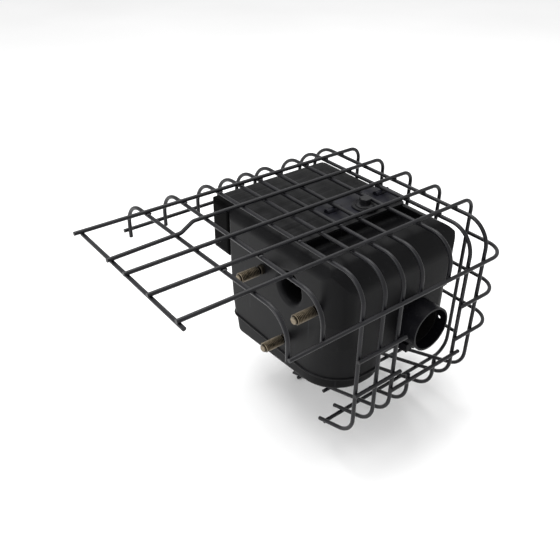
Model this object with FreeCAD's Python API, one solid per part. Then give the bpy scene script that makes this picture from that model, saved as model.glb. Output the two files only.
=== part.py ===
import FreeCAD, Part
import math
import os

os.makedirs("parts", exist_ok=True)

Vec = FreeCAD.Vector

# ---------------------------------------------------------------- driving dimensions, mm
# Drawing axes: X along the long wires, away from the inlet face. Y towards the engine side.
# Z up. The drawing origin is where the end hoop crosses the rear long wire.
WIRE_R = 1.5
WIRE_D = 2 * WIRE_R

HOOP_X = [0.0, 49.0, 79.2, 110.4, 130.6, 148.6, 167.6, 196.4, 217.4, 235.2]
HOOP_FRONT_SHIFT = {1: 3.0, 3: 2.3, 4: 1.7, 5: 0.8}
# Where each hoop's lower run ends along Y. None: the hoop stops at the top rail.
HOOP_FLOOR_END = {1: None, 2: None, 3: -124.0, 4: -119.0, 5: -48.0, 6: None, 7: None, 8: -48.0, 9: -48.0}
LOWER_HOOP_FLOOR_END = {6: -122.5, 7: -48.0}
END_HOOP_Y = (3.0, -131.0)
LONG_Y = [(1.5, -1.8), (-43.5, -32.0), (-64.5, -64.1), (-93.5, -95.0), (-126.0, -126.0)]
LONG_START_X = [-6.5, -4.0, -3.0, -2.5, -2.0]
LONG_END_X = 255.8
HOOP_REAR_Y = 32.7
HOOP_FRONT_Y = -158.4
HOOP_TOP_Z = -WIRE_D
REAR_LEG_END_Z = -35.0
REAR_RAIL_Z = -30.0
TOP_FRONT_R = 20.0
REAR_R = 21.5
BOTTOM_R = 19.5
FLOOR_CORNER_Z = -133.0
FLOOR_SLOPE = -0.35
LONG_BEND_R = 10.0
LONG_FOOT_R = 15.0
WIRE_OVERRUN = 3.0
JOGGLE = [(52.0, -41.1), (67.5, -31.3)]
JOGGLE_R = 8.0

RAIL_Z = [-31.5, -63.5, -94.0, -108.8]
RAIL_Y = HOOP_FRONT_Y - WIRE_D
END_X = LONG_END_X + WIRE_D
END_RAIL_Z = -126.0
CORNER_R = 17.0
# Start and end of each straight front rail: hoop number, then how far past it along X.
RAIL_2_RUN = ((3, -3.0), (5, 6.0))
RAIL_3_RUN = ((3, -3.0), (5, 5.0))
RAIL_4_RUN = ((5, -2.5), (8, 4.0))
END_RAIL_4_Y = (-129.5, -60.1)
REAR_RAIL_RUN = ((1, -7.5), (9, 6.0))
RETURN_Y = [(-126.0, -127.5), (-94.0, -92.0), (-59.0, -55.0)]
RETURN_LEFT_X = [114.0, 145.0, 148.0]

SHEET = 1.5
FACE_X = 109.0
SHELL_END_X = 232.0
LOBE_END_X = 167.0
SHELL_FRONT_Y = -139.0
SHELL_REAR_Y = -12.0
SHELL_TOP_Z = -10.0
SHELL_STEP_Z = -60.0
SHELL_STEP = 4.0
SHELL_BOTTOM_Z = -104.0
# Height, front left and rear left corner radii of the lobe's walls: the corners open out towards the pan.
LOBE_CORNER = [(-10, 18, 4), (-55, 18, 4), (-75, 23, 5), (-92, 29, 7), (-105.5, 34, 10)]
LOBE_RIGHT_R = (18.0, 8.0)
PAN_TOP_Z = -105.5
PAN_BOTTOM_Z = -118.0
# The pan gets deeper towards the rear by this angle, in degrees.
PAN_TILT = 4.3
PAN_EXTRA = 16.0
PAN_STEP = 0.8
PAN_DRAFT = 3.0
PAN_EDGE_R = 6.0
CHAMBER_REAR_Y = 12.0
CHAMBER_BOTTOM_Z = -57.0
CHAMBER_END_X = 228.0
POCKET_X = (121.0, 218.0)
POCKET_YZ = [(-90.0, -5.0), (-90.0, -18.0), (-95.0, -18.0), (-113.5, -10.3), (-113.5, -5.0)]
POCKET_R = 3.0

INLET_Y = -88.3
INLET_Z = -43.2
INLET_R = 12.0
INLET_ROLL_R = 4.0
INLET_LENGTH = 12.0
STUD_R = 4.0
STUD_LENGTH = 22.0
STUD_NECK_R = 3.5
STUD_TIP = 1.0
STUD_HEAD_R = 6.5
STUD_HEAD_T = 4.0
STUD_SPACING = 64.0
STUD_YZ = [
    (INLET_Y + STUD_SPACING / 2, INLET_Z),
    (INLET_Y - STUD_SPACING / 2, INLET_Z),
    (INLET_Y + 2.5, INLET_Z - 46.0),
]
BACK_PLATE = 3.0
BACK_PLATE_SIDE = 44.0
BACK_PLATE_BELOW = 58.0
BACK_PLATE_ABOVE = 20.0

OUTLET_X = 191.0
OUTLET_Z = -77.5
OUTLET_R = 18.0
OUTLET_RIM_Y = -155.0
OUTLET_LINER_R = 16.5
OUTLET_LINER_Y = (-146.0, -118.0)
OUTLET_DRAIN_R = 1.6
OUTLET_DRAIN_Y = -148.0
SUPPORT_X = (177.0, 191.0)
SUPPORT_Y = (-146.0, -125.0)
SUPPORT_Z = (-98.5, -91.5)
SUPPORT_GROOVE_X = (180.5, 184.0, 187.5)
SUPPORT_GROOVE = 2.0
SUPPORT_GROOVE_DEPTH = 1.2

BAFFLE_X = (147.0, 159.0)
BAFFLE_HOLE_R = 6.0
BAFFLE_HOLES = ((-118.0, -70.0), (-52.0, -70.0))
TUBE_AXIS = (-88.3, -62.0)
TUBE_R = 12.0
TUBE_WALL = 1.2
TUBE_X = (136.0, 186.0)
TUBE_HOLE_X = (141.0, 155.5, 172.0, 179.0)
TUBE_HOLE_R = 2.0

COVER = 1.2
COVER_BOX = (119.0, 223.0, -89.5, 8.0)
COVER_CORNER_R = 4.0
BOLT_X = 190.5
BOLT_Y = -77.3
BOLT_R = 2.5
BOLT_END_Z = -19.5
NUT_T = 5.0
STRAP = (156.5, 228.0, -84.0, -57.0)
STRAP_RIB_Y = -68.0
STRAP_RIB_X = [(160.0, 174.0), (210.5, 224.5)]
STRAP_RIB_R = 2.6
STRAP_CORNER_R = 3.0
WASHER_R = 10.0
WASHER_T = 1.3
HEAD_FLANGE_R = 7.3
HEAD_FLANGE_T = 0.8
HEAD_FLATS = 8.0
HEAD_T = 5.0
HEAD_CROWN = 4.5

# How far a cutting shape runs past what it cuts.
PAST = 50.0

# The row frame sits on the inlet axis, on the outer face of the shell.
ORIGIN = Vec(FACE_X, INLET_Y, INLET_Z)


# ---------------------------------------------------------------- helpers
def save(name, shape):
    """Move a finished piece into the row frame and write it."""
    placed = shape.copy()
    placed.translate(ORIGIN * -1)
    if not placed.isValid():
        raise RuntimeError(name + " is not a valid solid")
    placed.exportStep("parts/" + name + ".step")
    print(name, round(placed.Volume, 1), len(placed.Solids))


def rounded_path(points, radii):
    """Straight runs joined by tangent arcs. radii holds one value per inner point."""
    edges = []
    start = points[0]
    for here, before, after, radius in zip(points[1:-1], points[:-2], points[2:], radii):
        into = (here - before).normalize()
        out = (after - here).normalize()
        turn = math.acos(max(-1.0, min(1.0, into.dot(out))))
        reach = radius * math.tan(turn / 2)
        first = here - into * reach
        last = here + out * reach
        bisector = (out - into).normalize()
        centre = here + bisector * (radius / math.cos(turn / 2))
        middle = centre - bisector * radius
        edges.append(Part.LineSegment(start, first).toShape())
        edges.append(Part.Arc(first, middle, last).toShape())
        start = last
    edges.append(Part.LineSegment(start, points[-1]).toShape())
    return Part.Wire(edges)


def bent_wire(points, radii=()):
    """A round guard wire along a path of straight runs and bends."""
    path = rounded_path(points, radii)
    direction = (points[1] - points[0]).normalize()
    circle = Part.Wire(Part.makeCircle(WIRE_R, points[0], direction))
    return path.makePipeShell([circle], True, False)


def rounded_face(corners, plane):
    """A face with rounded corners. corners holds (u, v, radius); plane maps (u, v) to space."""
    count = len(corners)
    edges = []
    ends = []
    for index, (u, v, radius) in enumerate(corners):
        here = plane(u, v)
        before = plane(*corners[index - 1][:2])
        after = plane(*corners[(index + 1) % count][:2])
        into = (here - before).normalize()
        out = (after - here).normalize()
        turn = math.acos(max(-1.0, min(1.0, into.dot(out))))
        reach = radius * math.tan(turn / 2)
        first = here - into * reach
        last = here + out * reach
        bisector = (out - into).normalize()
        centre = here + bisector * (radius / math.cos(turn / 2))
        ends.append((first, centre - bisector * radius, last))
    for index, (first, middle, last) in enumerate(ends):
        edges.append(Part.Arc(first, middle, last).toShape())
        edges.append(Part.LineSegment(last, ends[(index + 1) % count][0]).toShape())
    return Part.Face(Part.Wire(edges))


def pressed_box(x_range, y_range, z_range, radii, inset=0.0):
    """A box whose corners are rounded in all three views, as a deep-drawn shell is.

    radii: end view (top front, top rear, bottom rear, bottom front),
    plan (front left, front right, rear right, rear left),
    side view (top left, top right, bottom right, bottom left).
    """
    x1, x2 = x_range[0] + inset, x_range[1] - inset
    y1, y2 = y_range[0] + inset, y_range[1] - inset
    z1, z2 = z_range[0] + inset, z_range[1] - inset
    end, plan, side = [[max(r - inset, 0.5) for r in group] for group in radii]
    low = z1 - PAST
    end_face = rounded_face(
        [(y1, z2, end[0]), (y2, z2, end[1]), (y2, z1, end[2]), (y1, z1, end[3])],
        lambda u, v: Vec(x1, u, v))
    plan_face = rounded_face(
        [(x1, y1, plan[0]), (x2, y1, plan[1]), (x2, y2, plan[2]), (x1, y2, plan[3])],
        lambda u, v: Vec(u, v, low))
    upper_face = rounded_face(
        [(x1, z2, side[0]), (x2, z2, side[1]), (x2, low, 1), (x1, low, 1)],
        lambda u, v: Vec(u, y1, v))
    lower_face = rounded_face(
        [(x1, z2 + PAST, 1), (x2, z2 + PAST, 1), (x2, z1, side[2]), (x1, z1, side[3])],
        lambda u, v: Vec(u, y1, v))
    solid = end_face.extrude(Vec(x2 - x1, 0, 0))
    solid = solid.common(plan_face.extrude(Vec(0, 0, z2 - low)))
    solid = solid.common(upper_face.extrude(Vec(0, y2 - y1, 0)))
    return solid.common(lower_face.extrude(Vec(0, y2 - y1, 0)))


def plan_outline(x_range, y_range, radii, inset, z):
    """A rounded rectangle in plan. radii: front left, front right, rear right, rear left."""
    x1, x2 = x_range[0] + inset, x_range[1] - inset
    y1, y2 = y_range[0] + inset, y_range[1] - inset
    corners = zip((x1, x2, x2, x1), (y1, y1, y2, y2), radii)
    rounded = [(x, y, max(r - inset, 0.5)) for x, y, r in corners]
    return rounded_face(rounded, lambda u, v: Vec(u, v, z)).OuterWire


def block(x1, x2, y1, y2, z1, z2):
    return Part.makeBox(x2 - x1, y2 - y1, z2 - z1, Vec(x1, y1, z1))


def cylinder(radius, length, base, direction):
    return Part.makeCylinder(radius, length, base, direction)


def hexagon(flats, height, base):
    """A hexagonal prism with two of its flats facing along X."""
    corner = flats / math.sqrt(3)
    points = []
    for step in range(7):
        angle = math.radians(60 * step + 30)
        points.append(base + Vec(corner * math.cos(angle), corner * math.sin(angle), 0))
    return Part.Face(Part.makePolygon(points)).extrude(Vec(0, 0, height))


# ---------------------------------------------------------------- guard wires
def floor_z(y):
    """Height of a hoop's lower run, which slopes down towards the rear."""
    return FLOOR_CORNER_Z + FLOOR_SLOPE * (y - HOOP_FRONT_Y)


def return_z(y):
    """Height of a wire that touches the hoops' lower runs from below."""
    return floor_z(y) - WIRE_D * math.sqrt(1 + FLOOR_SLOPE ** 2)


def hoop_x(index, y):
    """Place of a hoop along X. A few hoops run slightly askew."""
    return HOOP_X[index] + HOOP_FRONT_SHIFT.get(index, 0.0) * y / HOOP_FRONT_Y


def hoop(index, floor_end_y):
    """A hoop: short rear leg, top run, large front bend, front leg, and any lower run."""
    rear_x = hoop_x(index, HOOP_REAR_Y)
    front_x = hoop_x(index, HOOP_FRONT_Y)
    points = [
        Vec(rear_x, HOOP_REAR_Y, REAR_LEG_END_Z),
        Vec(rear_x, HOOP_REAR_Y, HOOP_TOP_Z),
        Vec(front_x, HOOP_FRONT_Y, HOOP_TOP_Z),
    ]
    radii = [REAR_R, TOP_FRONT_R]
    if floor_end_y is None:
        points.append(Vec(front_x, HOOP_FRONT_Y, RAIL_Z[0] - WIRE_OVERRUN))
    else:
        points.append(Vec(front_x, HOOP_FRONT_Y, FLOOR_CORNER_Z))
        points.append(Vec(front_x, floor_end_y, floor_z(floor_end_y)))
        radii.append(BOTTOM_R)
    return bent_wire(points, radii)


def lower_hoop(index, floor_end_y):
    """The stub of a hoop that is cut away in front of the outlet."""
    x = HOOP_X[index]
    points = [
        Vec(x, HOOP_FRONT_Y, RAIL_Z[3] + WIRE_OVERRUN),
        Vec(x, HOOP_FRONT_Y, FLOOR_CORNER_Z),
        Vec(x, floor_end_y, floor_z(floor_end_y)),
    ]
    return bent_wire(points, [BOTTOM_R])


def long_wire(index):
    """A long wire: top run, tight end bend, end leg, and a lower run on the outer three."""
    start_y, end_y = LONG_Y[index]
    points = [Vec(LONG_START_X[index], start_y, 0)]
    radii = []
    if index == 1:
        for x, y in JOGGLE:
            points.append(Vec(x, y, 0))
            radii.append(JOGGLE_R)
    points.append(Vec(LONG_END_X, end_y, 0))
    radii.append(LONG_BEND_R)
    if index < 2:
        points.append(Vec(LONG_END_X, end_y, RAIL_Z[1 + index] - WIRE_OVERRUN))
        return bent_wire(points, radii)
    right_y, left_y = RETURN_Y[4 - index]
    points.append(Vec(LONG_END_X, right_y, return_z(right_y)))
    points.append(Vec(RETURN_LEFT_X[4 - index], left_y, return_z(left_y)))
    radii.append(LONG_FOOT_R)
    return bent_wire(points, radii)


def past_hoop(run_end):
    """X of a rail end, given as a hoop number and the distance past it."""
    index, past = run_end
    return hoop_x(index, HOOP_FRONT_Y) + past


def straight_rail(run, y, z):
    return bent_wire([Vec(past_hoop(run[0]), y, z), Vec(past_hoop(run[1]), y, z)])


def corner_rail(z, x1, end_y):
    """A front rail that wraps round the corner on to the end of the guard."""
    points = [Vec(x1, RAIL_Y, z), Vec(END_X, RAIL_Y, z), Vec(END_X, end_y, z)]
    return bent_wire(points, [CORNER_R])


def build_guard():
    save("hoop_0_end_wire", bent_wire([Vec(0, y, HOOP_TOP_Z) for y in END_HOOP_Y]))
    for index, end_y in HOOP_FLOOR_END.items():
        save("hoop_%d" % index, hoop(index, end_y))
    for index, end_y in LOWER_HOOP_FLOOR_END.items():
        save("hoop_%d_lower" % index, lower_hoop(index, end_y))
    for index in range(len(LONG_Y)):
        save("long_wire_%d" % (index + 1), long_wire(index))
    save("rail_1_wrapped", corner_rail(RAIL_Z[0], past_hoop((1, -WIRE_R)), LONG_Y[4][1] + WIRE_OVERRUN))
    save("rail_2_wrapped", corner_rail(RAIL_Z[1], past_hoop((8, -5.0)), LONG_Y[0][1] + WIRE_OVERRUN))
    save("rail_3_wrapped", corner_rail(RAIL_Z[2], past_hoop((8, -5.0)), LONG_Y[1][1] + WIRE_OVERRUN))
    save("rail_2_front", straight_rail(RAIL_2_RUN, RAIL_Y, RAIL_Z[1]))
    save("rail_3_front", straight_rail(RAIL_3_RUN, RAIL_Y, RAIL_Z[2]))
    save("rail_4_front", straight_rail(RAIL_4_RUN, RAIL_Y, RAIL_Z[3]))
    save("rail_4_end", bent_wire([Vec(END_X, y, END_RAIL_Z) for y in END_RAIL_4_Y]))
    save("rear_rail", straight_rail(REAR_RAIL_RUN, HOOP_REAR_Y + WIRE_D, REAR_RAIL_Z))


# ---------------------------------------------------------------- silencer body
# Corner radii in the order pressed_box takes them. Corners buried in another volume get BURIED_R.
BURIED_R = 1
SHELL_RADII = ((22, 3, 12, 13), (12, 12, 10, 6), (12, 14, 14, 12))
UPPER_RADII = ((22, 3, BURIED_R, BURIED_R), (12, 12, 10, 6), (12, 14, 3, 3))
LOBE_TOP_RADII = ((22, 3, BURIED_R, BURIED_R), (BURIED_R,) * 4, (10, 12, BURIED_R, BURIED_R))
CHAMBER_RADII = ((2, 3, 8, 8), (2, 6, 8, 6), (4, 6, 8, 8))
LOBE_X = (FACE_X, LOBE_END_X)
# The outlet end starts inside the lobe, so that the two fuse.
OUTLET_END_START_X = FACE_X + 20
SHELL_Y = (SHELL_FRONT_Y, SHELL_REAR_Y)


def lobe_walls(inset):
    """The straight walls behind the inlet face, down to the pan."""
    outlines = []
    for z, front_r, rear_r in LOBE_CORNER:
        outlines.append(plan_outline(LOBE_X, SHELL_Y, (front_r, *LOBE_RIGHT_R, rear_r), inset, z))
    return Part.makeLoft(outlines, True, True)


def shell_volume(inset):
    """The deep lobe behind the inlet face, joined to the shallower outlet end."""
    lobe_top = pressed_box(LOBE_X, SHELL_Y, (PAN_TOP_Z - PAST, SHELL_TOP_Z), LOBE_TOP_RADII, inset)
    lobe = lobe_walls(inset).common(lobe_top)
    upper_x = (OUTLET_END_START_X, SHELL_END_X)
    lower_x = (OUTLET_END_START_X, SHELL_END_X - SHELL_STEP)
    upper = pressed_box(upper_x, SHELL_Y, (SHELL_STEP_Z, SHELL_TOP_Z), UPPER_RADII, inset)
    lower = pressed_box(lower_x, SHELL_Y, (SHELL_BOTTOM_Z, SHELL_TOP_Z), SHELL_RADII, inset)
    return lobe.fuse(upper).fuse(lower).removeSplitter()


def pan_volume(inset):
    """The shallow pan that closes the foot of the lobe. It tapers in towards a rounded, sloping bottom."""
    front_r, rear_r = LOBE_CORNER[-1][1:]
    radii = (front_r, *LOBE_RIGHT_R, rear_r)
    deepest = PAN_BOTTOM_Z - PAN_EXTRA
    top = plan_outline(LOBE_X, SHELL_Y, radii, inset + PAN_STEP, PAN_TOP_Z)
    bottom = plan_outline(LOBE_X, SHELL_Y, radii, inset + PAN_STEP + PAN_DRAFT, deepest)
    below = block(LOBE_X[0] - PAST, LOBE_X[1] + PAST, -PAST, 4 * PAST, -PAST, inset)
    below.rotate(Vec(0, 0, 0), Vec(1, 0, 0), -PAN_TILT)
    below.translate(Vec(0, SHELL_FRONT_Y, PAN_BOTTOM_Z))
    pan = Part.makeLoft([top, bottom], True, True).cut(below)
    floor = min(pan.Faces, key=lambda face: face.CenterOfMass.z)
    return pan.makeFillet(PAN_EDGE_R - inset, floor.Edges)


def pocket_volume(grow):
    """The sunk pocket in the top, deepest beside the flat cover and rising to the front."""
    x1, x2 = POCKET_X[0] - grow, POCKET_X[1] + grow
    middle_y = (POCKET_YZ[0][0] + POCKET_YZ[-1][0]) / 2
    points = [Vec(x1, y + math.copysign(grow, y - middle_y), z - grow) for y, z in POCKET_YZ]
    tool = Part.Face(Part.makePolygon(points + points[:1])).extrude(Vec(x2 - x1, 0, 0))
    rounded = [edge for edge in tool.Edges if edge.BoundBox.ZMax < SHELL_TOP_Z - 5 - grow]
    return tool.makeFillet(POCKET_R, rounded)


def cavity_volume():
    """All the room inside the shell and the pan."""
    room = shell_volume(SHEET).cut(pocket_volume(SHEET))
    return room.fuse(pan_volume(SHEET))


def stud_holes():
    holes = []
    for y, z in STUD_YZ:
        holes.append(cylinder(STUD_NECK_R, PAST, Vec(FACE_X - PAST / 2, y, z), Vec(1, 0, 0)))
    return holes


def build_shell(cavity):
    shell = shell_volume(0.0).cut(pocket_volume(0.0)).cut(cavity)
    save("lower_pan", pan_volume(0.0).cut(cavity))
    neck_r = INLET_R + INLET_ROLL_R
    shell = shell.cut(cylinder(neck_r, PAST, Vec(FACE_X - PAST / 2, INLET_Y, INLET_Z), Vec(1, 0, 0)))
    outlet_start = Vec(OUTLET_X, SHELL_FRONT_Y - PAST / 2, OUTLET_Z)
    shell = shell.cut(cylinder(OUTLET_LINER_R, PAST, outlet_start, Vec(0, 1, 0)))
    shell = shell.cut(cylinder(BOLT_R, PAST, Vec(BOLT_X, BOLT_Y, SHELL_TOP_Z - PAST / 2), Vec(0, 0, 1)))
    for hole in stud_holes():
        shell = shell.cut(hole)
    save("silencer_shell", shell)


def build_rear_chamber():
    ranges = ((FACE_X, CHAMBER_END_X), (SHELL_REAR_Y, CHAMBER_REAR_Y), (CHAMBER_BOTTOM_Z, SHELL_TOP_Z))
    outer = pressed_box(*ranges, CHAMBER_RADII)
    inner = pressed_box(*ranges, CHAMBER_RADII, SHEET)
    save("rear_chamber", outer.cut(inner))


def build_inlet(cavity):
    roll_x = FACE_X + INLET_ROLL_R
    outer = INLET_R + INLET_ROLL_R
    diagonal = math.sqrt(0.5)
    big = INLET_ROLL_R
    small = INLET_ROLL_R - SHEET
    end_x = roll_x + INLET_LENGTH
    mid_big = Vec(roll_x - big * diagonal, outer - big * diagonal, 0)
    mid_small = Vec(roll_x - small * diagonal, outer - small * diagonal, 0)
    edges = [
        Part.Arc(Vec(FACE_X, outer, 0), mid_big, Vec(roll_x, INLET_R, 0)).toShape(),
        Part.LineSegment(Vec(roll_x, INLET_R, 0), Vec(end_x, INLET_R, 0)).toShape(),
        Part.LineSegment(Vec(end_x, INLET_R, 0), Vec(end_x, INLET_R + SHEET, 0)).toShape(),
        Part.LineSegment(Vec(end_x, INLET_R + SHEET, 0), Vec(roll_x, INLET_R + SHEET, 0)).toShape(),
        Part.Arc(Vec(roll_x, INLET_R + SHEET, 0), mid_small, Vec(FACE_X + SHEET, outer, 0)).toShape(),
        Part.LineSegment(Vec(FACE_X + SHEET, outer, 0), Vec(FACE_X, outer, 0)).toShape(),
    ]
    neck = Part.Face(Part.Wire(edges)).revolve(Vec(0, 0, 0), Vec(1, 0, 0), 360)
    neck.translate(Vec(0, INLET_Y, INLET_Z))
    save("inlet_neck", neck)

    inner_x = FACE_X + SHEET
    plate = block(inner_x, inner_x + BACK_PLATE, INLET_Y - BACK_PLATE_SIDE, INLET_Y + BACK_PLATE_SIDE,
                  INLET_Z - BACK_PLATE_BELOW, INLET_Z + BACK_PLATE_ABOVE)
    plate = plate.common(cavity)
    plate = plate.cut(cylinder(outer, PAST, Vec(FACE_X, INLET_Y, INLET_Z), Vec(1, 0, 0)))
    for hole in stud_holes():
        plate = plate.cut(hole)
    save("stud_plate", plate)


def build_studs():
    along = Vec(1, 0, 0)
    neck_length = SHEET + BACK_PLATE
    for name, (y, z) in zip(("rear", "front", "lower"), STUD_YZ):
        tip_at = Vec(FACE_X - STUD_LENGTH, y, z)
        tip = Part.makeCone(STUD_R - STUD_TIP, STUD_R, STUD_TIP, tip_at, along)
        shank = cylinder(STUD_R, STUD_LENGTH - STUD_TIP, tip_at + along * STUD_TIP, along)
        neck = cylinder(STUD_NECK_R, neck_length, Vec(FACE_X, y, z), along)
        head = cylinder(STUD_HEAD_R, STUD_HEAD_T, Vec(FACE_X + neck_length, y, z), along)
        save("stud_" + name, tip.fuse(shank).fuse(neck).fuse(head).removeSplitter())


def build_inside(cavity):
    tube_y, tube_z = TUBE_AXIS
    for index, x in enumerate(BAFFLE_X):
        baffle = block(x, x + SHEET, SHELL_FRONT_Y, 0, PAN_BOTTOM_Z - PAST, 0).common(cavity)
        baffle = baffle.cut(cylinder(TUBE_R, PAST, Vec(x - PAST / 2, tube_y, tube_z), Vec(1, 0, 0)))
        for y, z in BAFFLE_HOLES:
            baffle = baffle.cut(cylinder(BAFFLE_HOLE_R, PAST, Vec(x - PAST / 2, y, z), Vec(1, 0, 0)))
        save("baffle_%d" % (index + 1), baffle)
    tube_x, length = TUBE_X[0], TUBE_X[1] - TUBE_X[0]
    tube = cylinder(TUBE_R, length, Vec(tube_x, tube_y, tube_z), Vec(1, 0, 0))
    tube = tube.cut(cylinder(TUBE_R - TUBE_WALL, length, Vec(tube_x, tube_y, tube_z), Vec(1, 0, 0)))
    for x in TUBE_HOLE_X:
        for across in (Vec(0, 1, 0), Vec(0, 0, 1)):
            start = Vec(x, tube_y, tube_z) - across * PAST / 2
            tube = tube.cut(cylinder(TUBE_HOLE_R, PAST, start, across))
    save("perforated_tube", tube)


def build_outlet():
    length = SHELL_FRONT_Y - OUTLET_RIM_Y
    start = Vec(OUTLET_X, OUTLET_RIM_Y, OUTLET_Z)
    pipe = cylinder(OUTLET_R, length, start, Vec(0, 1, 0))
    pipe = pipe.cut(cylinder(OUTLET_LINER_R, length, start, Vec(0, 1, 0)))
    drain = cylinder(OUTLET_DRAIN_R, PAST, Vec(OUTLET_X, OUTLET_DRAIN_Y, OUTLET_Z), Vec(1, 0, 0))
    save("outlet_pipe", pipe.cut(drain))

    liner_y1, liner_y2 = OUTLET_LINER_Y
    liner_start = Vec(OUTLET_X, liner_y1, OUTLET_Z)
    liner = cylinder(OUTLET_LINER_R, liner_y2 - liner_y1, liner_start, Vec(0, 1, 0))
    liner = liner.cut(cylinder(OUTLET_LINER_R - SHEET, liner_y2 - liner_y1, liner_start, Vec(0, 1, 0)))
    save("outlet_liner", liner)

    support = block(*SUPPORT_X, *SUPPORT_Y, *SUPPORT_Z)
    pipe_start = Vec(OUTLET_X, OUTLET_RIM_Y - PAST, OUTLET_Z)
    support = support.cut(cylinder(OUTLET_R, 2 * PAST, pipe_start, Vec(0, 1, 0)))
    low = SUPPORT_Z[0]
    for x in SUPPORT_GROOVE_X:
        sides = (x - SUPPORT_GROOVE / 2, x + SUPPORT_GROOVE / 2)
        groove = block(*sides, *SUPPORT_Y, low, low + SUPPORT_GROOVE_DEPTH)
        support = support.cut(groove)
    save("outlet_support", support.cut(shell_volume(0.0)))


def build_clamp():
    top_z = SHELL_TOP_Z + COVER
    x1, x2, y1, y2 = COVER_BOX
    cover = rounded_face([(x, y, COVER_CORNER_R) for x, y in ((x1, y1), (x2, y1), (x2, y2), (x1, y2))],
                         lambda u, v: Vec(u, v, SHELL_TOP_Z))
    cover = cover.extrude(Vec(0, 0, COVER))
    bolt_hole = cylinder(BOLT_R, PAST, Vec(BOLT_X, BOLT_Y, SHELL_TOP_Z - PAST / 2), Vec(0, 0, 1))
    save("top_cover", cover.cut(bolt_hole))

    x1, x2, y1, y2 = STRAP
    strap = rounded_face([(x, y, STRAP_CORNER_R) for x, y in ((x1, y1), (x2, y1), (x2, y2), (x1, y2))],
                         lambda u, v: Vec(u, v, top_z)).extrude(Vec(0, 0, SHEET))
    rib_base = top_z + SHEET
    rib_axis_z = HOOP_TOP_Z - WIRE_R - STRAP_RIB_R
    for rib_x1, rib_x2 in STRAP_RIB_X:
        length = rib_x2 - rib_x1
        rib = cylinder(STRAP_RIB_R, length, Vec(rib_x1, STRAP_RIB_Y, rib_axis_z), Vec(1, 0, 0))
        rib_sides = (rib_x1, rib_x2, STRAP_RIB_Y - PAST, STRAP_RIB_Y + PAST)
        above = block(*rib_sides, rib_base - SHEET / 2, rib_base + PAST)
        strap = strap.fuse(rib.common(above))
    save("clamp_strap", strap.cut(bolt_hole).removeSplitter())

    washer_z = top_z + SHEET
    washer = cylinder(WASHER_R, WASHER_T, Vec(BOLT_X, BOLT_Y, washer_z), Vec(0, 0, 1))
    save("bolt_washer", washer.cut(bolt_hole))

    flange_z = washer_z + WASHER_T
    head_z = flange_z + HEAD_FLANGE_T
    flange = cylinder(HEAD_FLANGE_R, HEAD_FLANGE_T, Vec(BOLT_X, BOLT_Y, flange_z), Vec(0, 0, 1))
    head = hexagon(HEAD_FLATS, HEAD_T, Vec(BOLT_X, BOLT_Y, head_z))
    crown = Part.makeCone(HEAD_FLATS / 2 + HEAD_CROWN, HEAD_FLATS / 2, HEAD_T, Vec(BOLT_X, BOLT_Y, head_z))
    shank = cylinder(BOLT_R, head_z - BOLT_END_Z, Vec(BOLT_X, BOLT_Y, BOLT_END_Z), Vec(0, 0, 1))
    save("clamp_bolt", head.common(crown).fuse(flange).fuse(shank).removeSplitter())

    nut_top = SHELL_TOP_Z - SHEET
    nut = hexagon(HEAD_FLATS, NUT_T, Vec(BOLT_X, BOLT_Y, nut_top - NUT_T))
    save("weld_nut", nut.cut(bolt_hole))


def main():
    cavity = cavity_volume()
    build_shell(cavity)
    build_rear_chamber()
    build_inlet(cavity)
    build_studs()
    build_inside(cavity)
    build_outlet()
    build_clamp()
    build_guard()


main()
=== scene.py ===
import math
import bmesh
import bpy
from mathutils import Euler, Matrix, Vector


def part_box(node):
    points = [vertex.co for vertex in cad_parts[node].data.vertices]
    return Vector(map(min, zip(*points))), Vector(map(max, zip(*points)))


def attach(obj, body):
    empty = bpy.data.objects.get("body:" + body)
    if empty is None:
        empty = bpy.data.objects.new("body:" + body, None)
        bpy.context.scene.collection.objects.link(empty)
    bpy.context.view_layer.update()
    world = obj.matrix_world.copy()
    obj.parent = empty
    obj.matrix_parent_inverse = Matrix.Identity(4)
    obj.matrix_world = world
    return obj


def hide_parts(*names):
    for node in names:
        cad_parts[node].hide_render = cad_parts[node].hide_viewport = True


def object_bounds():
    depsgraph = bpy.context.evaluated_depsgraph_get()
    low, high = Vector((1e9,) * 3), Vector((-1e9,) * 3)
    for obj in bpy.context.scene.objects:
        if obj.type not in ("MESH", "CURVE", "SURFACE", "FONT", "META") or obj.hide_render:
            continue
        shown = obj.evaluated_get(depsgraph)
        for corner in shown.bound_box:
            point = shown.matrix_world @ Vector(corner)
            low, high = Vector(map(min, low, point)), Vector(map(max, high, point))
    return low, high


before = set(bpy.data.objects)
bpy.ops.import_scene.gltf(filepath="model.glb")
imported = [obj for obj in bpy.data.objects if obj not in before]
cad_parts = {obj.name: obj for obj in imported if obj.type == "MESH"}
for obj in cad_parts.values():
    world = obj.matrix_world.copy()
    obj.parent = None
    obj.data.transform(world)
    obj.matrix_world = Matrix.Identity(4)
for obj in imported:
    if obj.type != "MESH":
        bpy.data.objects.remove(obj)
cad_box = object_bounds()

# ---------------------------------------------------------------- silencer shell
# The body is deep-drawn from 1.5 mm sheet steel and sprayed with heat-resistant black paint.
# The paint is satin: it keeps a soft sheen, a fine orange peel from the spray gun,
# and dull patches where the shell was handled and stacked.


def linear(hex_colour):
    """An sRGB hex colour as linear RGBA."""
    values = []
    for start in (1, 3, 5):
        c = int(hex_colour[start:start + 2], 16) / 255
        values.append(c / 12.92 if c <= 0.04045 else ((c + 0.055) / 1.055) ** 2.4)
    return (*values, 1.0)


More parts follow.
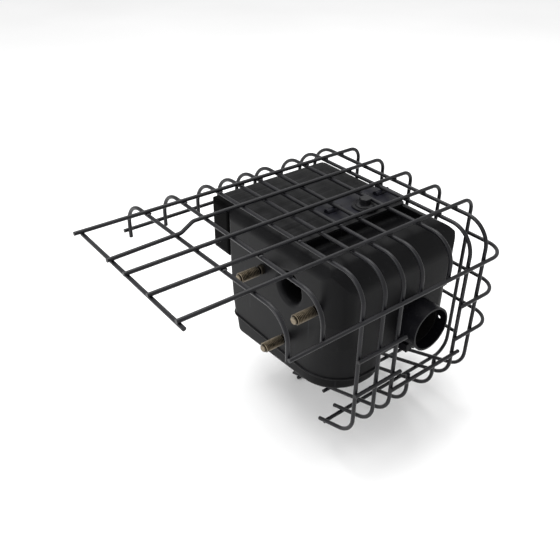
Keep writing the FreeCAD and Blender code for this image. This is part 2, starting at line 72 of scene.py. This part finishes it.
def add_node(material, kind, settings=None, inputs=None, links=None):
    """Adds a node. settings are its properties, inputs its socket values, links its incoming sockets.

    A colour ramp's stops are (position, hex colour) pairs.
    """
    node = material.node_tree.nodes.new(kind)
    settings = dict(settings or {})
    stops = settings.pop("stops", [])
    for _ in stops[2:]:
        node.color_ramp.elements.new(0.5)
    for index, (position, colour) in enumerate(stops):
        node.color_ramp.elements[index].position = position
        node.color_ramp.elements[index].color = linear(colour)
    for key, value in settings.items():
        setattr(node, key, value)
    for key, value in (inputs or {}).items():
        node.inputs[key].default_value = value
    for key, socket in (links or {}).items():
        material.node_tree.links.new(socket, node.inputs[key])
    return node


def new_finish(name):
    """An empty material and its object-space position."""
    material = bpy.data.materials.new(name)
    material.use_nodes = True
    material.node_tree.nodes.clear()
    place = add_node(material, "ShaderNodeTexCoord")
    return material, place.outputs["Object"]


def close_finish(material, colour, roughness, bumps, settings):
    """Principled surface with stacked bumps, each (height, depth in metres)."""
    normal = None
    for height, depth in bumps:
        links = {"Height": height}
        if normal is not None:
            links["Normal"] = normal
        bump = add_node(material, "ShaderNodeBump", inputs={"Strength": 1.0, "Distance": depth}, links=links)
        normal = bump.outputs["Normal"]
    links = {"Base Color": colour, "Roughness": roughness}
    if normal is not None:
        links["Normal"] = normal
    shader = add_node(material, "ShaderNodeBsdfPrincipled", inputs=settings, links=links)
    add_node(material, "ShaderNodeOutputMaterial", links={"Surface": shader.outputs["BSDF"]})
    return material


def give(nodes, material):
    """Puts a finish on CAD nodes."""
    for name in nodes:
        for material_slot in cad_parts[name].material_slots:
            material_slot.material = material


def heat_paint(name, dark, light, smooth, dull, sheen):
    """Sprayed heat-resistant black: orange peel 1.6 mm across, handling patches about 35 mm across.

    Fine scuffs run down the walls, drawn coarser than real ones, about 2 mm wide, so that they show.
    """
    material, place = new_finish(name)
    patches = add_node(material, "ShaderNodeTexNoise", inputs={"Scale": 28.0, "Detail": 4.0, "Roughness": 0.6},
                       links={"Vector": place})
    peel = add_node(material, "ShaderNodeTexNoise", inputs={"Scale": 620.0, "Detail": 2.0, "Roughness": 0.5},
                    links={"Vector": place})
    grit = add_node(material, "ShaderNodeTexVoronoi", settings={"feature": "F1"}, inputs={"Scale": 900.0},
                    links={"Vector": place})
    drawn_down = add_node(material, "ShaderNodeMapping",
                          inputs={"Scale": (1.0, 1.0, 0.06), "Rotation": (0.2, 0.1, 0)}, links={"Vector": place})
    scuff = add_node(material, "ShaderNodeTexNoise", inputs={"Scale": 480.0, "Detail": 1.0},
                     links={"Vector": drawn_down.outputs["Vector"]})
    scuff_mark = add_node(material, "ShaderNodeMapRange",
                          inputs={"From Min": 0.72, "From Max": 0.80, "To Max": 0.5},
                          links={"Value": scuff.outputs["Fac"]})
    colour = add_node(material, "ShaderNodeValToRGB", {"stops": [(0.3, dark), (0.72, light)]},
                      links={"Fac": patches.outputs["Fac"]}).outputs["Color"]
    scuffed = add_node(material, "ShaderNodeMix", settings={"data_type": "RGBA"},
                       links={"Factor": scuff_mark.outputs["Result"], "A": colour})
    scuffed.inputs["B"].default_value = linear("#2a2a2e")
    rough = add_node(material, "ShaderNodeMapRange", inputs={"To Min": smooth, "To Max": dull},
                     links={"Value": patches.outputs["Fac"]}).outputs["Result"]
    return close_finish(material, scuffed.outputs["Result"], rough,
                        [(peel.outputs["Fac"], 0.00003), (grit.outputs["Distance"], 0.00001)],
                        {"IOR": 1.5, "Metallic": 0.0, "Specular IOR Level": sheen})


shell_paint = heat_paint("sprayed_heat_black", "#060607", "#0a0a0c", 0.42, 0.48, 0.10)
give(["silencer_shell"], shell_paint)

# ---------------------------------------------------------------- lower pan
# A shallow pressing that closes the foot of the deep end. Its edge meets the shell's, set in a little,
# and a weld all round keeps it shut. Its paint is the same coat, a little flatter, with its colour painted darker
# than the shell's: painted shade on the downward-facing band.
pan_paint_shaded = heat_paint("sprayed_heat_black_pan_shaded", "#040405", "#070708", 0.46, 0.54, 0.08)
give(["lower_pan"], pan_paint_shaded)

# The weld that joins pan and shell runs round the seam as a thin bead.
SEAM_BEAD_R = 0.0011
SEAM_CORNER_R = (0.034, 0.018, 0.008, 0.010)
pan_low, pan_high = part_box("lower_pan")
seam_z = pan_high.z - 0.0002
seam_out = 0.0008
seam_x = (pan_low.x - seam_out, pan_high.x + seam_out)
seam_y = (pan_low.y - seam_out, pan_high.y + seam_out)
seam_corners = ((seam_x[0], seam_y[0]), (seam_x[1], seam_y[0]), (seam_x[1], seam_y[1]), (seam_x[0], seam_y[1]))
seam_points = []
for quarter, ((x, y), corner_r) in enumerate(zip(seam_corners, SEAM_CORNER_R)):
    centre_x = x + (corner_r if x < pan_high.x - corner_r else -corner_r)
    centre_y = y + (corner_r if y < pan_high.y - corner_r else -corner_r)
    for step in range(9):
        angle = math.pi + (quarter + step / 8) * math.pi / 2
        seam_points.append((centre_x + corner_r * math.cos(angle), centre_y + corner_r * math.sin(angle)))
seam_curve = bpy.data.curves.new("pan_seam_bead", "CURVE")
seam_curve.dimensions = "3D"
seam_curve.bevel_depth = SEAM_BEAD_R
seam_curve.bevel_resolution = 3
bead = seam_curve.splines.new("POLY")
bead.use_cyclic_u = True
bead.points.add(len(seam_points) - 1)
for point, (x, y) in zip(bead.points, seam_points):
    point.co = (x, y, seam_z, 1.0)
pan_bead = bpy.data.objects.new("pan_seam_bead", seam_curve)
bpy.context.scene.collection.objects.link(pan_bead)
seam_curve.materials.append(shell_paint)
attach(pan_bead, "root")

# ---------------------------------------------------------------- rear chamber
# A shallower box of the same sheet, welded to the back of the shell.
# Its paint is flatter and darker than the shell's.
chamber_paint = heat_paint("sprayed_heat_black_rear_darker", "#020202", "#040405", 0.62, 0.70, 0.03)
give(["rear_chamber"], chamber_paint)

# ---------------------------------------------------------------- parts inside the shell
# Baffles, perforated tube, stud plate and weld nut are plain mild steel, unpainted.
# They carry a thin mill scale, grey with brown clouds.
mill_steel, place = new_finish("mill_scale_steel")
clouds = add_node(mill_steel, "ShaderNodeTexNoise", inputs={"Scale": 70.0, "Detail": 5.0},
                  links={"Vector": place})
scale_colour = add_node(mill_steel, "ShaderNodeValToRGB",
                        {"stops": [(0.3, "#4c4a49"), (0.55, "#6a655f"), (0.75, "#5a4a3e")]},
                        links={"Fac": clouds.outputs["Fac"]}).outputs["Color"]
scale_rough = add_node(mill_steel, "ShaderNodeMapRange", inputs={"To Min": 0.38, "To Max": 0.62},
                       links={"Value": clouds.outputs["Fac"]}).outputs["Result"]
close_finish(mill_steel, scale_colour, scale_rough, [(clouds.outputs["Fac"], 0.00004)], {"Metallic": 1.0})
give(["baffle_1", "baffle_2", "perforated_tube", "stud_plate", "weld_nut"], mill_steel)

# ---------------------------------------------------------------- inlet neck
# The inlet hole is flanged inwards: the sheet rolls into a short neck that seals on the port.
# Its colour turns darker, and its surface rougher, from 1 mm to 9 mm inside the hole.
neck_paint, place = new_finish("painted_neck_darker_inside")
depth = add_node(neck_paint, "ShaderNodeSeparateXYZ", links={"Vector": place})
inward_darkening = add_node(neck_paint, "ShaderNodeMapRange", settings={"interpolation_type": "SMOOTHSTEP"},
                     inputs={"From Min": 0.001, "From Max": 0.009}, links={"Value": depth.outputs["X"]})
neck_colour = add_node(neck_paint, "ShaderNodeValToRGB", {"stops": [(0.0, "#0b0b0d"), (1.0, "#020202")]},
                       links={"Fac": inward_darkening.outputs["Result"]}).outputs["Color"]
neck_rough = add_node(neck_paint, "ShaderNodeMapRange", inputs={"To Min": 0.5, "To Max": 0.85},
                      links={"Value": inward_darkening.outputs["Result"]}).outputs["Result"]
neck_peel = add_node(neck_paint, "ShaderNodeTexNoise", inputs={"Scale": 620.0, "Detail": 2.0},
                     links={"Vector": place})
close_finish(neck_paint, neck_colour, neck_rough,
             [(neck_peel.outputs["Fac"], 0.00003)], {"IOR": 1.5, "Specular IOR Level": 0.10})
give(["inlet_neck"], neck_paint)

# ---------------------------------------------------------------- studs
# Three M8 x 1.25 steel studs, zinc-plated and yellow-passivated, then dulled by paint mist.
# Each has a rolled thread, a chamfered tip and a plain collar against the shell.
zinc, place = new_finish("yellow_passivated_zinc")
along_stud = add_node(zinc, "ShaderNodeSeparateXYZ", links={"Vector": place})
mist = add_node(zinc, "ShaderNodeMapRange", settings={"interpolation_type": "SMOOTHSTEP"},
                inputs={"From Min": -0.016, "From Max": -0.001}, links={"Value": along_stud.outputs["X"]})
stain = add_node(zinc, "ShaderNodeTexNoise", inputs={"Scale": 260.0, "Detail": 4.0}, links={"Vector": place})
zinc_colour = add_node(zinc, "ShaderNodeValToRGB",
                       {"stops": [(0.3, "#4f483c"), (0.5, "#7f7463"), (0.7, "#5f574a")]},
                       links={"Fac": stain.outputs["Fac"]}).outputs["Color"]
zinc_mixed = add_node(zinc, "ShaderNodeMix", settings={"data_type": "RGBA"},
                      links={"Factor": mist.outputs["Result"], "A": zinc_colour})
zinc_mixed.inputs["B"].default_value = linear("#3a3630")
zinc_rough = add_node(zinc, "ShaderNodeMapRange", inputs={"To Min": 0.34, "To Max": 0.52},
                      links={"Value": stain.outputs["Fac"]}).outputs["Result"]
# The thread roots are painted near black by groove depth: painted shade in the grooves.
painted_root_shade = add_node(zinc, "ShaderNodeAttribute", settings={"attribute_name": "thread_root_shade"})
zinc_root_shaded = add_node(zinc, "ShaderNodeMix", settings={"data_type": "RGBA"},
                       links={"Factor": painted_root_shade.outputs["Fac"], "A": zinc_mixed.outputs["Result"]})
zinc_root_shaded.inputs["B"].default_value = linear("#060504")
close_finish(zinc, zinc_root_shaded.outputs["Result"], zinc_rough,
             [(stain.outputs["Fac"], 0.00002)], {"Metallic": 1.0})


def finished(name, bm, material, slot, *replaced):
    """Turns a bmesh into a piece on the frame and lets it stand for CAD nodes."""
    bmesh.ops.remove_doubles(bm, verts=bm.verts[:], dist=1e-7)
    bmesh.ops.recalc_face_normals(bm, faces=bm.faces[:])
    mesh = bpy.data.meshes.new(name)
    bm.to_mesh(mesh)
    bm.free()
    piece = bpy.data.objects.new(name, mesh)
    bpy.context.scene.collection.objects.link(piece)
    mesh.materials.append(material)
    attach(piece, "root")
    if replaced:
        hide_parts(*replaced)
    return piece


def turned(bm, profile, centre, axis, steps):
    """Spins a profile of (radius, distance along axis) points once round an axis. Ends on it are closed."""
    along = Vector(axis).normalized()
    across = along.orthogonal().normalized()
    corners = [bm.verts.new(Vector(centre) + across * r + along * d) for r, d in profile]
    edges = [bm.edges.new(pair) for pair in zip(corners[:-1], corners[1:])]
    bmesh.ops.spin(bm, geom=corners + edges, cent=centre, axis=along, angle=math.tau, steps=steps,
                   use_merge=True)
    bmesh.ops.remove_doubles(bm, verts=bm.verts[:], dist=1e-7)


STUD_CORE_R = 0.00320
STUD_CREST_R = 0.0040
STUD_PITCH = 0.00125
THREAD_STEPS = 28
THREAD_TURNS = 13
THREAD_START = 0.0015
THREAD_END_X = -0.0028
THREAD_INNER_R = 0.0030
RIDGE_SINK = 0.0002
CREST_WEAR = 0.00003
STUD_TIP_R = 0.0026
STUD_TIP_LENGTH = 0.0009
CORE_END_X = -0.0032
COLLAR_X = -0.0026
COLLAR_R = 0.0039
NECK_R = 0.0035
NECK_END_X = 0.0045
HEAD_R = 0.0065
HEAD_BEVEL = 0.0004


def thread(bm, tip, turns):
    """A rolled thread: one ridge, wound round the core and sunk a little into it."""
    half = STUD_PITCH * 0.46
    crest_r = STUD_CREST_R - CREST_WEAR
    foot_r = STUD_CORE_R - RIDGE_SINK
    start = [Vector((tip.x + d, tip.y + r, tip.z))
             for d, r in ((-half, foot_r), (-half * 0.12, crest_r), (half * 0.12, crest_r), (half, foot_r))]
    face = bm.faces.new([bm.verts.new(point) for point in start])
    steps = turns * THREAD_STEPS
    advance = Vector((STUD_PITCH / THREAD_STEPS, 0, 0))
    bmesh.ops.spin(bm, geom=[face], cent=tip, axis=(1, 0, 0), dvec=advance, angle=math.tau * turns, steps=steps)


for stud in ("stud_rear", "stud_front", "stud_lower"):
    low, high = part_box(stud)
    axis_point = Vector((0, (low.y + high.y) / 2, (low.z + high.z) / 2))
    shape = bmesh.new()
    turned(shape, [(0, low.x), (STUD_TIP_R, low.x), (STUD_CORE_R, low.x + STUD_TIP_LENGTH),
                   (STUD_CORE_R, CORE_END_X), (COLLAR_R, COLLAR_X), (COLLAR_R, 0.0), (NECK_R, 0.0),
                   (NECK_R, NECK_END_X), (HEAD_R, NECK_END_X), (HEAD_R, high.x - HEAD_BEVEL),
                   (HEAD_R - HEAD_BEVEL, high.x), (0, high.x)],
           axis_point, (1, 0, 0), 40)
    thread(shape, Vector((low.x + THREAD_START, axis_point.y, axis_point.z)), THREAD_TURNS)
    # Each thread vertex gets its depth into the groove, which sets the painted shade at the roots.
    root_shade_layer = shape.verts.layers.float.new("thread_root_shade")
    for corner in shape.verts:
        out = math.hypot(corner.co.y - axis_point.y, corner.co.z - axis_point.z)
        if corner.co.x < THREAD_END_X and out > THREAD_INNER_R:
            corner[root_shade_layer] = min(1.0, (STUD_CREST_R - out) / (STUD_CREST_R - STUD_CORE_R))
    finished("threaded_" + stud, shape, zinc, "zinc_stud", stud)

# ---------------------------------------------------------------- outlet pipe, liner and support
# A short length of welded tube with a drain hole near its rim, over a liner tube.
# The pipe and its support are sprayed like the shell. The liner inside is dark with soot.
outlet_paint = heat_paint("sprayed_outlet_pipe", "#060609", "#0b0b0f", 0.36, 0.44, 0.11)
give(["outlet_pipe", "outlet_support"], outlet_paint)
sooty, place = new_finish("sooty_liner")
soot = add_node(sooty, "ShaderNodeTexNoise", inputs={"Scale": 180.0, "Detail": 5.0}, links={"Vector": place})
soot_colour = add_node(sooty, "ShaderNodeValToRGB", {"stops": [(0.3, "#050505"), (0.7, "#0d0c0b")]},
                       links={"Fac": soot.outputs["Fac"]}).outputs["Color"]
soot_rough = add_node(sooty, "ShaderNodeMapRange", inputs={"To Min": 0.75, "To Max": 0.95},
                      links={"Value": soot.outputs["Fac"]}).outputs["Result"]
close_finish(sooty, soot_colour, soot_rough,
             [(soot.outputs["Fac"], 0.00005)], {"IOR": 1.45, "Specular IOR Level": 0.15})
give(["outlet_liner"], sooty)

# ---------------------------------------------------------------- top cover and clamp strap
# The cover is a flat sheet, linished along its length before painting, so fine lines show through.
# The strap over it is smoother, pressed with two ribs, and its coat is faintly blue.
linished, place = new_finish("linished_painted_cover")
drawn_out = add_node(linished, "ShaderNodeMapping", inputs={"Scale": (1.0, 42.0, 1.0)}, links={"Vector": place})
lines = add_node(linished, "ShaderNodeTexNoise", inputs={"Scale": 22.0, "Detail": 6.0, "Roughness": 0.7},
                 links={"Vector": drawn_out.outputs["Vector"]})
cover_patches = add_node(linished, "ShaderNodeTexNoise", inputs={"Scale": 30.0, "Detail": 3.0},
                         links={"Vector": place})
cover_colour = add_node(linished, "ShaderNodeValToRGB",
                        {"stops": [(0.35, "#030304"), (0.5, "#0b0b0c"), (0.68, "#242426")]},
                        links={"Fac": lines.outputs["Fac"]}).outputs["Color"]
cover_rough = add_node(linished, "ShaderNodeMapRange", inputs={"To Min": 0.50, "To Max": 0.56},
                       links={"Value": cover_patches.outputs["Fac"]}).outputs["Result"]
close_finish(linished, cover_colour, cover_rough,
             [(lines.outputs["Fac"], 0.00008)], {"IOR": 1.5, "Specular IOR Level": 0.12})
give(["top_cover"], linished)
strap_paint = heat_paint("sprayed_strap_blue_black", "#0e0e14", "#15151d", 0.36, 0.42, 0.16)
give(["clamp_strap"], strap_paint)

# ---------------------------------------------------------------- clamp bolt and washer
# A flanged hex bolt on a wide flat washer, painted over in place.
# The paint is slightly mottled where it went on over the finished joint.
bolt_paint, place = new_finish("painted_over_bolt")
bolt_mottle = add_node(bolt_paint, "ShaderNodeTexNoise", inputs={"Scale": 400.0, "Detail": 3.0},
                       links={"Vector": place})
bolt_colour = add_node(bolt_paint, "ShaderNodeValToRGB", {"stops": [(0.35, "#08080a"), (0.7, "#18181b")]},
                       links={"Fac": bolt_mottle.outputs["Fac"]}).outputs["Color"]
bolt_rough = add_node(bolt_paint, "ShaderNodeMapRange", inputs={"To Min": 0.34, "To Max": 0.52},
                      links={"Value": bolt_mottle.outputs["Fac"]}).outputs["Result"]
close_finish(bolt_paint, bolt_colour, bolt_rough, [(bolt_mottle.outputs["Fac"], 0.00003)],
             {"IOR": 1.5, "Specular IOR Level": 0.2})

washer_low, washer_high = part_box("bolt_washer")
bolt_low, bolt_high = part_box("clamp_bolt")
bolt_axis = (washer_low + washer_high) / 2
washer_r = (washer_high.x - washer_low.x) / 2
bolt_hole_r = 0.0025
soft_edge = 0.0003
shape = bmesh.new()
turned(shape, [(bolt_hole_r, washer_low.z), (washer_r - soft_edge, washer_low.z),
               (washer_r, washer_low.z + soft_edge), (washer_r, washer_high.z - soft_edge),
               (washer_r - soft_edge, washer_high.z),
               (bolt_hole_r, washer_high.z), (bolt_hole_r, washer_low.z)],
       (bolt_axis.x, bolt_axis.y, 0), (0, 0, 1), 64)
finished("flat_washer", shape, bolt_paint, "bolt_black", "bolt_washer")

flange_r = (bolt_high.x - bolt_low.x) / 2
flange_thickness = 0.0008
flange_top = washer_high.z + flange_thickness
flange_edge = 0.0002
shank_chamfer = 0.0004
dome_r = 0.0046
dome_rise = 0.0004
shank_tip_r = 0.0021
head_flats = 0.008
shape = bmesh.new()
turned(shape, [(0, bolt_low.z), (shank_tip_r, bolt_low.z), (bolt_hole_r, bolt_low.z + shank_chamfer),
               (bolt_hole_r, washer_high.z), (flange_r - flange_edge, washer_high.z),
               (flange_r, washer_high.z + flange_edge), (flange_r, flange_top - flange_edge),
               (flange_r - soft_edge, flange_top), (dome_r, flange_top + dome_rise), (0, flange_top + dome_rise)],
       (bolt_axis.x, bolt_axis.y, 0), (0, 0, 1), 64)
head = bmesh.ops.create_cone(shape, cap_ends=True, segments=6, radius1=head_flats / math.sqrt(3),
                             radius2=head_flats / math.sqrt(3), depth=bolt_high.z - flange_top)
head_verts = head["verts"]
bmesh.ops.rotate(shape, verts=head_verts, cent=(0, 0, 0), matrix=Matrix.Rotation(math.radians(30), 3, "Z"))
bmesh.ops.translate(shape, verts=head_verts, vec=(bolt_axis.x, bolt_axis.y, (bolt_high.z + flange_top) / 2))
upright = [edge for edge in shape.edges if edge.verts[0] in head_verts and edge.verts[1] in head_verts]
bmesh.ops.bevel(shape, geom=upright, offset=0.0005, segments=3, profile=0.5, affect="EDGES", material=-1)
finished("flanged_hex_bolt", shape, bolt_paint, "bolt_black", "clamp_bolt")

# ---------------------------------------------------------------- wire guard
# Hoops, long wires and rails are 3 mm drawn steel wire, bent, resistance-welded where they cross,
# and dipped in satin black. The coat is a little thicker and glossier than the shell's spray.
wires = [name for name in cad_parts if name.startswith(("hoop_", "long_wire_", "rail_", "rear_rail"))]
dip_coat, place = new_finish("dipped_satin_black_wire")
runs = add_node(dip_coat, "ShaderNodeTexNoise", inputs={"Scale": 45.0, "Detail": 3.0}, links={"Vector": place})
wire_peel = add_node(dip_coat, "ShaderNodeTexNoise", inputs={"Scale": 700.0, "Detail": 2.0},
                     links={"Vector": place})
wire_colour = add_node(dip_coat, "ShaderNodeValToRGB", {"stops": [(0.3, "#0c0c0f"), (0.7, "#141418")]},
                       links={"Fac": runs.outputs["Fac"]}).outputs["Color"]
wire_rough = add_node(dip_coat, "ShaderNodeMapRange", inputs={"To Min": 0.30, "To Max": 0.44},
                      links={"Value": runs.outputs["Fac"]}).outputs["Result"]
close_finish(dip_coat, wire_colour, wire_rough,
             [(wire_peel.outputs["Fac"], 0.00002)], {"IOR": 1.5, "Specular IOR Level": 0.26})
give(wires, dip_coat)


# On the top, hoops 1 to 9 have a weld where they cross a straight long wire: a little metal squeezed
# out round the contact, under the coat. Each place is worked out from the ends of the two top runs, so
# the joggled second long wire gets none, and neither do the front, the end or the underside.
WELD_R = 0.0014
WELD_SPREAD = (1.7, 1.7, 0.55)
STRAIGHT_LONGS = (1, 3, 4, 5)
LONG_RUN_BAND = 0.0031
HOOP_RUN_BAND = 0.0004
top_longs = []
for number in STRAIGHT_LONGS:
    name = "long_wire_%d" % number
    top_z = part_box(name)[1].z
    run = [v.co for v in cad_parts[name].data.vertices if v.co.z > top_z - LONG_RUN_BAND]
    left = min(run, key=lambda p: p.x)
    right = max(run, key=lambda p: p.x)
    top_longs.append((left, right))
weld_shape = bmesh.new()
for number in range(1, 10):
    name = "hoop_%d" % number
    top_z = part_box(name)[1].z
    run = [v.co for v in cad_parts[name].data.vertices if v.co.z > top_z - HOOP_RUN_BAND]
    rear = max(run, key=lambda p: p.y)
    front = min(run, key=lambda p: p.y)
    for left, right in top_longs:
        share = (rear.x - left.x) / (right.x - left.x)
        cross_y = left.y + share * (right.y - left.y)
        share = (cross_y - rear.y) / (front.y - rear.y)
        cross_x = rear.x + share * (front.x - rear.x)
        blob = bmesh.ops.create_icosphere(weld_shape, subdivisions=2, radius=WELD_R)
        bmesh.ops.scale(weld_shape, verts=blob["verts"], vec=WELD_SPREAD)
        bmesh.ops.translate(weld_shape, verts=blob["verts"], vec=(cross_x, cross_y, top_z))
finished("crossing_welds", weld_shape, dip_coat, "guard_wire")

# ---------------------------------------------------------------- floor, light and camera
# A plain pale floor under the lowest wires, with soft overhead and side light.
FLOOR_SIZE = 3.0
FLOOR_SHIFT = 0.2
FLOOR_GAP = 0.0002
floor_shape = bmesh.new()
bmesh.ops.create_grid(floor_shape, x_segments=1, y_segments=1, size=FLOOR_SIZE)
bmesh.ops.translate(floor_shape, verts=floor_shape.verts[:],
                    vec=(FLOOR_SHIFT, FLOOR_SHIFT, cad_box[0][2] - FLOOR_GAP))
floor_mesh = bpy.data.meshes.new("studio_floor")
floor_shape.to_mesh(floor_mesh)
floor_shape.free()
floor = bpy.data.objects.new("studio_floor", floor_mesh)
bpy.context.scene.collection.objects.link(floor)
floor_paint, place = new_finish("matt_white_floor")
floor_tone = add_node(floor_paint, "ShaderNodeTexNoise", inputs={"Scale": 3.0}, links={"Vector": place})
floor_colour = add_node(floor_paint, "ShaderNodeValToRGB", {"stops": [(0.3, "#f2f2f2"), (0.7, "#f6f6f6")]},
                        links={"Fac": floor_tone.outputs["Fac"]}).outputs["Color"]
floor_rough = add_node(floor_paint, "ShaderNodeMapRange", inputs={"To Min": 0.85, "To Max": 0.95},
                       links={"Value": floor_tone.outputs["Fac"]}).outputs["Result"]
close_finish(floor_paint, floor_colour, floor_rough, [], {"Specular IOR Level": 0.1})
floor_mesh.materials.append(floor_paint)

world = bpy.data.worlds.new("studio_air")
bpy.context.scene.world = world
world.use_nodes = True
world.node_tree.nodes["Background"].inputs["Color"].default_value = (1.0, 1.0, 1.0, 1.0)
world.node_tree.nodes["Background"].inputs["Strength"].default_value = 0.92


def softbox(name, place, target, width, height, power):
    """A soft rectangular light aimed at a point."""
    light = bpy.data.lights.new(name, "AREA")
    light.shape = "RECTANGLE"
    light.size = width
    light.size_y = height
    light.energy = power
    lamp = bpy.data.objects.new(name, light)
    lamp.location = place
    lamp.rotation_euler = (Vector(target) - Vector(place)).to_track_quat("-Z", "Y").to_euler()
    bpy.context.scene.collection.objects.link(lamp)


softbox("overhead", (0.1, 0.25, 0.95), (0.05, 0.0, 0.0), 1.0, 0.6, 10.0)
softbox("left_side", (-0.95, 0.15, 0.30), (0.05, 0.0, -0.03), 0.5, 0.6, 5.0)
bpy.context.scene.view_settings.view_transform = "Standard"

camera_data = bpy.data.cameras.new("camera")
camera_data.lens = 42.9
camera_data.sensor_width = 36.0
camera = bpy.data.objects.new("camera", camera_data)
camera.location = (-0.2492, -0.3060, 0.2665)
camera.rotation_euler = Euler((math.radians(56.67), math.radians(-0.49), math.radians(-37.91)))
bpy.context.scene.collection.objects.link(camera)
bpy.context.scene.camera = camera
